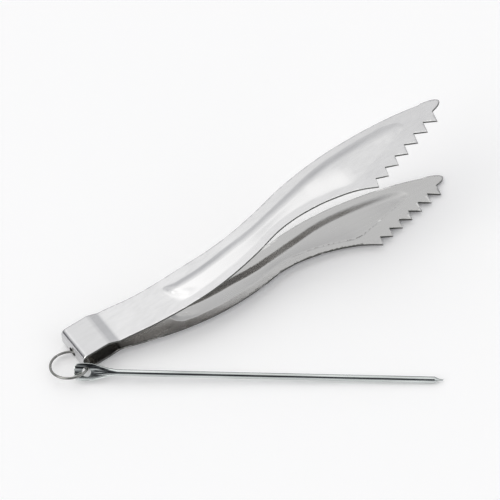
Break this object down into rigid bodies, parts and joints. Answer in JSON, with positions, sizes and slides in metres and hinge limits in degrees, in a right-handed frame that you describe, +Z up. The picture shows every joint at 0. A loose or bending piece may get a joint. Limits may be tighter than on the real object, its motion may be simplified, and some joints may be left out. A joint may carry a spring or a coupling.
{
  "type": "charcoal tongs",
  "caption": "Folded spring-strip tongs with saw-edged jaws, a ring through the back and a loose poker pin, for picking up hot coals or ice.",
  "frame": {"origin": "centre of the object's footprint on the surface it lies on", "axes": "+Z up from that surface, +X along the tongs from the back to the jaws, +Y towards the smooth edge of the blades"},
  "size_m": [0.1726, 0.0874, 0.0479],
  "materials": {
    "stainless_strip": "satin rolled sheet with bright polished streaks",
    "bright_wire": "bright nickel-plated wire",
    "zinc_rod": "zinc-plated, dull and striated where it is flattened"
  },
  "bodies": {
    "back": {"back_box": "stainless_strip"},
    "upper": {"upper_arm": "stainless_strip"},
    "lower": {"lower_arm": "stainless_strip"},
    "ring": {"ring": "bright_wire"},
    "poker": {"poker": "zinc_rod"}
  },
  "joints": [
    {"name": "upper_arm_flex", "type": "hinge", "parent": "back", "child": "upper", "pos_m": [-0.06123, 0.03634, 0.00794], "axis": [0, 1, 0], "range_deg": [0, 8.9], "stiffness_Nm_per_rad": 5.3},
    {"name": "lower_arm_flex", "type": "hinge", "parent": "back", "child": "lower", "pos_m": [-0.06065, 0.03634, 0.00348], "axis": [0, -1, 0], "range_deg": [0, 8.9], "stiffness_Nm_per_rad": 5.3},
    {"name": "ring_swing", "type": "hinge", "parent": "back", "child": "ring", "pos_m": [-0.07424, 0.03707, 0.00253], "axis": [0, 0, 1], "range_deg": [0, 20]},
    {"name": "poker_lift", "type": "hinge", "parent": "ring", "child": "poker", "pos_m": [-0.076, 0.02603, 0.00468], "axis": [-0.9026, -0.4225, 0.0821], "range_deg": [0, 60]}
  ],
  "couplings": [
    {"joint": "lower_arm_flex", "follows": "upper_arm_flex", "ratio": 1}
  ]
}
